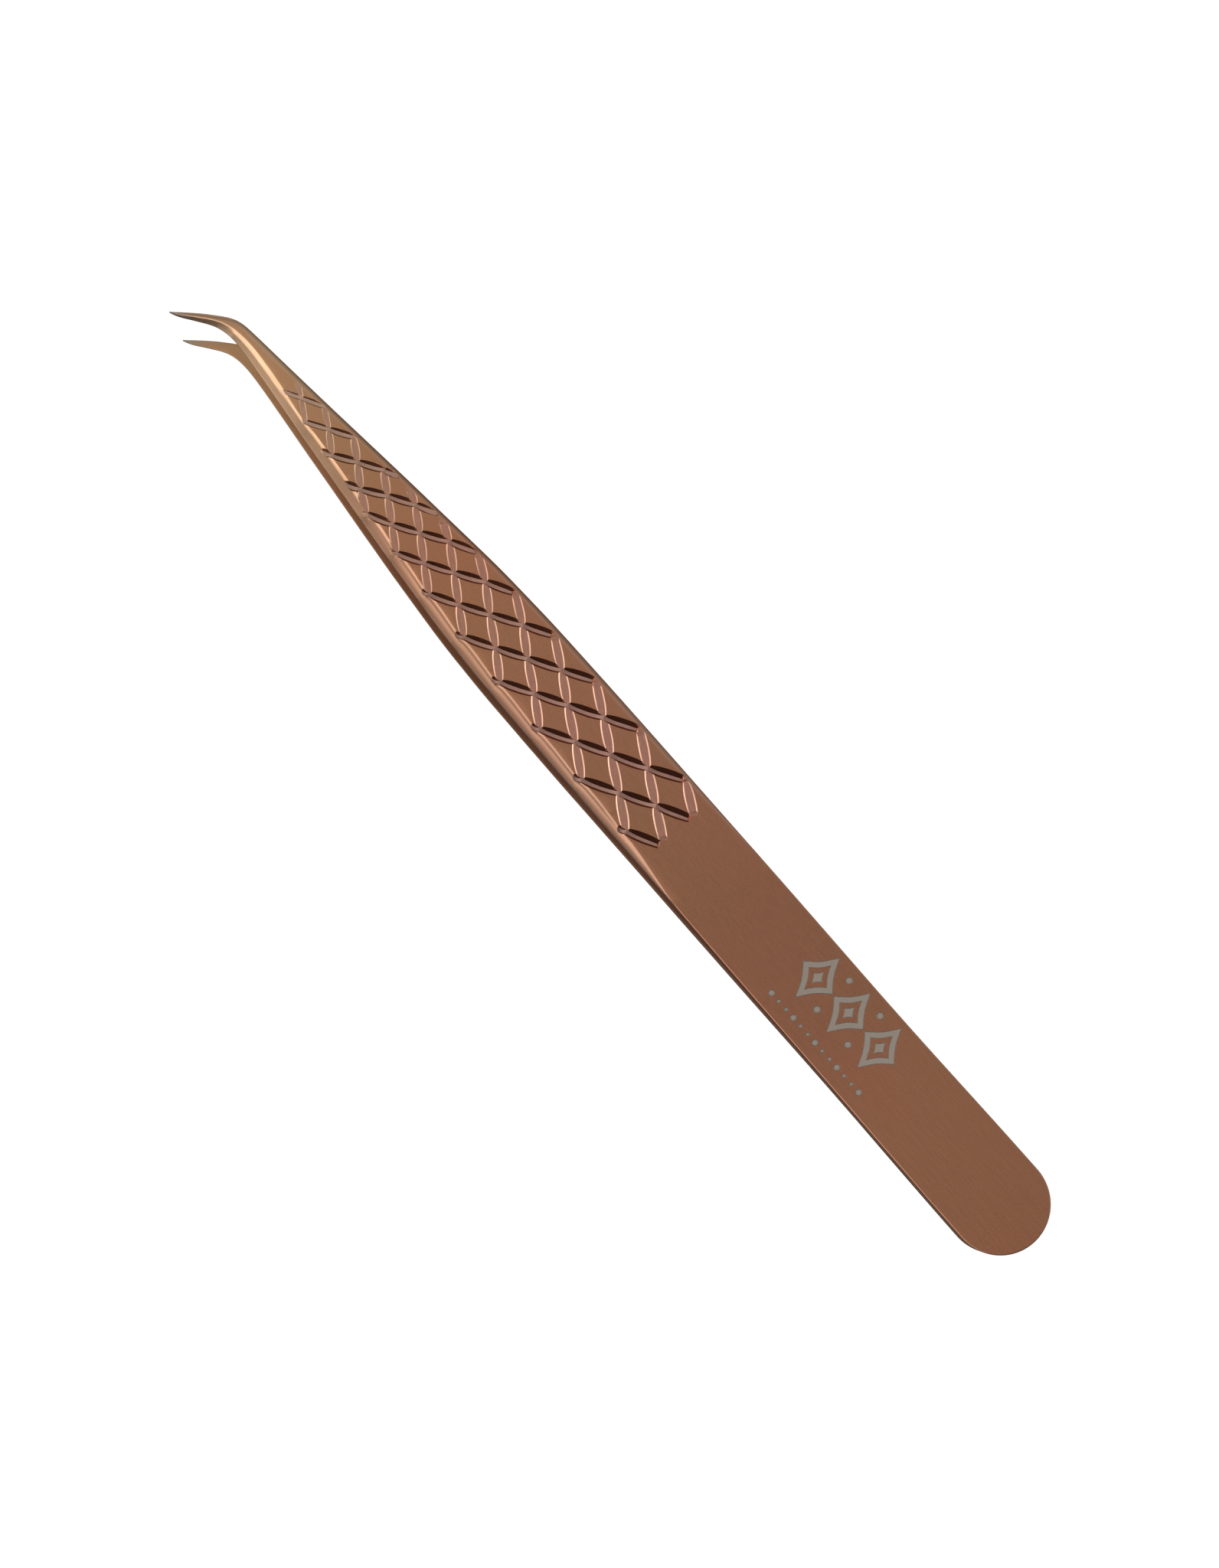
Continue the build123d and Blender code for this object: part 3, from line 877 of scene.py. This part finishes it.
def coat_colour(surface, tint, dark, fade):
    x = surface.x_from_tail()
    share = surface.remap(x, (0, COAT_LENGTH), to=(0, 1))
    colour = surface.ramp(share, [(place / COAT_LENGTH, tuple(c * dark for c in tone))
                                  for place, tone in COAT])
    # slow drift in the coating's colour, redder and more olive by turns
    drift = surface.noise(surface.coords((0.05, 0.12, 0.12)), scale=1.0, detail=2.0, rough=0.5)
    tone = surface.ramp(drift, [(0.30, (1.03, 0.98, 0.98)), (0.5, grey(1.0)),
                                (0.70, (0.97, 1.01, 0.98))], "EASE")
    colour = surface.multiply(colour, tone)
    colour = surface.multiply(colour, (*tint, 1))
    for start, end, level in fade:
        factor = surface.remap(x, (start, end), to=(0.0, 1.0))
        colour = surface.mix(factor, colour, surface.multiply(colour, (*grey(level), 1)))
    mottle = surface.noise(surface.coords(), scale=2.4, detail=5.0, rough=0.65)
    mottle = surface.ramp(mottle, [(0.25, grey(0.98)), (0.75, grey(1.015))])
    colour = surface.multiply(colour, mottle)
    # the coating thins to bare steel on the last of the prongs
    worn = surface.remap(x, (117.6, 120.0), to=(0.0, 0.85))
    patch = surface.noise(surface.coords(), scale=3.0, detail=3.0, rough=0.6)
    worn = surface.math("MULTIPLY", worn, surface.remap(patch, (0.3, 0.6), to=(0.55, 1.0)))
    return surface.mix(worn, colour, (*STEEL, 1))


def coat(name, rough=0.27, tint=(1, 1, 1), scratch=0.0, angle=0.0, grain=0.07, lay=0.06,
         dark=1.0, fade=()):
    """Copper-toned coating over finely ground steel.

    grain, lay and scratch are bump strengths, angle is the scratches' turn about z, dark
    scales the coating's colour, and fade lists (start mm, end mm, brightness beyond the end)."""
    surface = Surface(name)
    colour = coat_colour(surface, tint, dark, fade)
    surface.set("Metallic", 1.0)
    # ground lay runs along the blade; a fine even grain sits over it
    streak = surface.noise(surface.coords((0.35, 9.0, 9.0)), scale=1.0, detail=6.0, rough=0.6)
    fine = surface.noise(surface.coords(), scale=22.0, detail=3.0, rough=0.6)
    surface.set("Roughness", surface.math(
        "ADD", surface.remap(streak, (0.3, 0.7), to=(rough - 0.03, rough + 0.05)),
        surface.remap(fine, (0.3, 0.7), to=(-0.02, 0.03))))
    normal = surface.bump(fine, strength=grain, distance=0.000004)
    normal = surface.bump(streak, strength=lay, distance=0.000006, normal=normal)
    if scratch:
        lines = surface.noise(surface.coords((0.7, 26.0, 1.0), turn=angle),
                              scale=1.0, detail=4.0, rough=0.7)
        normal = surface.bump(lines, strength=scratch, distance=0.00003, normal=normal)
        shade = surface.ramp(lines, [(0.3, grey(0.82)), (0.7, grey(1.14))])
        colour = surface.multiply(colour, shade)
    surface.set("Base Color", colour)
    surface.set("Normal", normal)
    return surface.material


def mottled_metal(name, scale, stops, metallic, span, rough, bump):
    """Bare rough metal; span of the noise is spread over the range of roughness."""
    surface = Surface(name)
    noise = surface.noise(surface.coords(), scale=scale, detail=5.0, rough=0.7)
    surface.set("Base Color", surface.ramp(noise, stops))
    surface.set("Metallic", metallic)
    surface.set("Roughness", surface.remap(noise, span, to=rough))
    surface.set("Normal", surface.bump(noise, strength=0.5, distance=bump))
    return surface.material


def etch_material(name, level):
    """Roughened bare metal; level scales its brightness."""
    stops = [(0.25, (0.50 * level, 0.425 * level, 0.355 * level)),
             (0.75, (0.66 * level, 0.57 * level, 0.49 * level))]
    return mottled_metal(name, scale=9.0, stops=stops, metallic=0.75, span=(0.2, 0.8),
                         rough=(0.46, 0.62), bump=0.00001)


def weld_material():
    return mottled_metal("weld_metal", scale=3.0, metallic=1.0, span=(0.3, 0.7),
                         stops=[(0.3, (0.34, 0.33, 0.33)), (0.7, (0.52, 0.50, 0.48))],
                         rough=(0.35, 0.55), bump=0.00002)


def blade_materials():
    """The blade's materials in slot order."""
    cut_angle = math.radians(29.5)
    return (
        coat("copper_coat"),
        coat("groove_floor_a", rough=0.34, tint=(1.0, 1.24, 1.75), scratch=0.5,
             angle=-cut_angle),
        coat("groove_floor_b", rough=0.34, tint=(1.0, 1.08, 1.38), scratch=0.7,
             angle=cut_angle),
        # cross-cut walls and the end walls of long cuts: coat colour lifted and paled as a painted
        # highlight, the painted highlight dimmed from 70 mm to 92 mm
        coat("groove_wall_cross", rough=0.20, tint=(1.25, 1.60, 2.05), grain=0.2, lay=0.0,
             fade=((70, 92, 0.62),)),
        etch_material("etched_mark", level=1.0),
        # inner faces: coating darkened as painted shade between the blades, lifting to near full
        # colour from 78 mm to 100 mm
        coat("inner_face", rough=0.34, grain=0.4, lay=0.4, dark=0.66, fade=((78, 100, 1.46),)),
        # side faces: coating darkened as painted shade, lifted from 72 mm to 104 mm and darkened
        # again from 112.5 mm at the bend
        coat("blade_edge", rough=0.30, tint=(1.0, 1.08, 1.2), grain=0.3, lay=0.6, dark=0.52,
             fade=((72, 104, 1.85), (112.5, 114.5, 0.5))),
        etch_material("etched_border", level=0.55),
        # far walls of the long cuts: coat colour darkened as painted shade, a little less from 86
        # mm to 104 mm
        coat("groove_wall_far", rough=0.20, tint=(0.52, 0.36, 0.35), grain=0.1, lay=0.0,
             fade=((86, 104, 1.2),)),
        # near walls of the long cuts: coat colour darkened as painted shade
        coat("groove_wall_near", rough=0.26, tint=(0.62, 0.60, 0.58), grain=0.2, lay=0.0),
        # ground bevel: coat colour paled towards white as a painted highlight
        coat("ground_bevel", rough=0.24, tint=(1.0, 1.16, 1.36), grain=0.25, lay=0.2))


materials = blade_materials()
shape = blade_shape()
for body, way in (("upper", 1), ("lower", -1)):
    obj = blade(f"{body}_blade", shape, way)
    for material in materials:
        obj.data.materials.append(material)
    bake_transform(obj)
    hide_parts(f"{body}_blade_root", f"{body}_blade_arm")

for prefix, material in (("tail_spacer", coat("spacer_coat", rough=0.36, dark=0.85, lay=0.5)),
                         ("spot_welds", weld_material())):
    for obj in bpy.context.scene.objects:
        if obj.type == "MESH" and obj.name.startswith(prefix):
            for slot in obj.material_slots:
                slot.material = material

# ------------------------------------------------------------------ camera
FOCAL_LENGTH = 62.3830078125              # mm, on a 36 mm sensor
DISTANCE = 260.0                          # camera to target plane, mm
TARGET_X = 60.0                           # from the tail end
TILT_Y, TILT_X = 0.06684, 0.09324         # turns about the y and x axes, radians
SHIFT_X, SHIFT_Y = 1.25005, -1.24366      # sideways offsets of the target, mm
# the blade's x axis in the picture: components to the right and downwards
AXIS_RIGHT, AXIS_DOWN = -0.65708661, -0.75381509

cos_y, sin_y = math.cos(TILT_Y), math.sin(TILT_Y)
cos_x, sin_x = math.cos(TILT_X), math.sin(TILT_X)
tilt = (np.array([[1, 0, 0], [0, cos_x, -sin_x], [0, sin_x, cos_x]])
        @ np.array([[cos_y, 0, sin_y], [0, 1, 0], [-sin_y, 0, cos_y]]))
right = tilt.T @ np.array([AXIS_RIGHT, AXIS_DOWN, 0.0])
down = tilt.T @ np.array([AXIS_DOWN, -AXIS_RIGHT, 0.0])
left, up = -right, -down
to_camera = tilt.T @ np.array([0, 0, 1.0])
eye = (tilt.T @ np.array([-SHIFT_X, -SHIFT_Y, DISTANCE])
       + np.array([TARGET_X - ORIGIN_X, 0, MID_Z]))

camera_data = bpy.data.cameras.new("camera")
camera = link_object("camera", camera_data)
camera.matrix_world = Matrix([*np.c_[right, up, to_camera, eye * MM].tolist(), (0, 0, 0, 1)])
camera_data.sensor_width = 36.0
camera_data.lens = FOCAL_LENGTH
camera_data.clip_start, camera_data.clip_end = 0.01, 10.0
bpy.context.scene.camera = camera


# ------------------------------------------------------------------ floor
def floor_plane():
    """Slope and height at x = 0 of the plane under the lower blade with the least gap
    below the tail."""
    xs = np.linspace(0.5, 118, 300)
    underside = MID_Z - outer_z(xs)
    best = (math.inf, 0, 0)
    for k in range(-40, 1):
        slope = k * 0.001
        height = (underside - slope * xs).min()
        gap = (underside - slope * xs - height)[xs < 16].min()
        if gap < best[0] - 1e-6:
            best = (gap, slope, height)
    return best[1:]


def floor_material():
    """Seen directly a lit white sheet; in the metal it reads as plain grey paper."""
    surface = Surface("floor_paper")
    tone = surface.noise(surface.coords((0.02, 0.02, 0.02)), scale=1.0, detail=3.0, rough=0.5)
    surface.set("Base Color", surface.ramp(tone, [(0.3, grey(0.30)), (0.7, grey(0.33))], "LINEAR"))
    surface.set("Roughness", 0.95)
    surface.set("Specular IOR Level", 0.0)
    glow = surface.node("Emission")
    surface.put(surface.ramp(tone, [(0.3, grey(0.93)), (0.7, grey(0.95))]), glow.inputs["Color"])
    paper = surface.shader.outputs[0]
    lit = surface.node("AddShader", {0: paper, 1: glow.outputs[0]})
    seen = surface.node("LightPath").outputs["Is Camera Ray"]
    pick = surface.node("MixShader", {0: seen, 1: paper, 2: lit.outputs[0]})
    surface.put(pick.outputs[0], surface.output.inputs[0])
    return surface.material


FLOOR_HALF = 3000.0
FLOOR_GAP = 0.02
slope, height = floor_plane()
corners = [(x, y) for x, y in ((-FLOOR_HALF, -FLOOR_HALF), (FLOOR_HALF, -FLOOR_HALF),
                               (FLOOR_HALF, FLOOR_HALF), (-FLOOR_HALF, FLOOR_HALF))]
floor_mesh = bpy.data.meshes.new("floor")
floor_mesh.from_pydata([(x * MM, y * MM, (height + slope * (x + ORIGIN_X) - FLOOR_GAP) * MM)
                        for x, y in corners], [], [(0, 1, 2, 3)])
floor = link_object("floor", floor_mesh)
floor_mesh.materials.append(floor_material())

# ------------------------------------------------------------------ light
# A studio dome of soft lobes. Each: (degrees to the picture's left of the camera axis,
# degrees below it), sharpness, colour.
LOBES = (
    ((25, -6), 60.0, (2.20, 2.17, 2.12)),        # narrow soft box, left of the camera
    ((10, 15), 40.0, (1.65, 1.63, 1.59)),        # its reflector, lower down
    ((46, 16), 20.0, (0.14, 0.138, 0.135)),      # its dim lower frame
    ((74, -4), 12.0, (1.45, 1.42, 1.39)),        # far left
    ((-80, -4), 12.0, (2.2, 2.15, 2.1)),         # soft box, right
    ((-24, -14), 6.0, (0.222, 0.219, 0.215)),    # the dim room, up and to the right
    ((5, -22), 30.0, (0.21, 0.207, 0.203)),      # a paler patch above the camera
    ((-18, -34), 14.0, (0.26, 0.257, 0.25)),     # and one up to the right
    ((0, -72), 4.0, (0.16, 0.155, 0.15)),        # dim top
    ((70, 58), 10.0, (0.95, 0.93, 0.91)),        # low on the left
    ((10, -94), 20.0, (0.6, 0.6, 0.6)),          # walls beyond the picture's top
    ((0, 90), 20.0, (0.7, 0.7, 0.7)),            # and bottom
)
AMBIENT = grey(0.03)
BACKDROP = (*grey(1.1), 1)                # what the camera sees directly


def direction(to_left, below):
    angle = math.hypot(to_left, below)
    k = math.sin(math.radians(angle)) / angle
    vector = to_left * k * left - below * k * up + math.cos(math.radians(angle)) * to_camera
    return tuple(vector / np.linalg.norm(vector))


def lobe(graph, view, angles, sharpness, colour):
    """Light that falls off as exp(sharpness * (cosine - 1)) from its direction."""
    cosine = graph.node("VectorMath", {0: view, 1: direction(*angles)}, operation="DOT_PRODUCT")
    fall = graph.math("SUBTRACT", cosine.outputs["Value"], 1.0)
    strength = graph.math("EXPONENT", graph.math("MULTIPLY", fall, sharpness))
    return graph.node("VectorMath", {0: colour, "Scale": strength}, operation="SCALE").outputs[0]


def build_world():
    world = bpy.data.worlds.new("studio")
    bpy.context.scene.world = world
    world.use_nodes = True
    graph = Graph(world.node_tree)
    output = graph.node("OutputWorld")
    background = graph.node("Background", {"Strength": 1.0})
    graph.put(background.outputs[0], output.inputs[0])
    view = graph.node("TexCoord").outputs["Generated"]

    def add(first, second):
        return graph.node("VectorMath", {0: first, 1: second}, operation="ADD").outputs[0]

    total = lobe(graph, view, *LOBES[0])
    for entry in LOBES[1:]:
        total = add(total, lobe(graph, view, *entry))
    total = add(total, AMBIENT)
    seen = graph.node("LightPath").outputs["Is Camera Ray"]
    graph.put(graph.mix(seen, total, BACKDROP), background.inputs["Color"])


build_world()
view_settings = bpy.context.scene.view_settings
view_settings.view_transform = "Standard"
view_settings.look = "None"
view_settings.exposure = 0.0
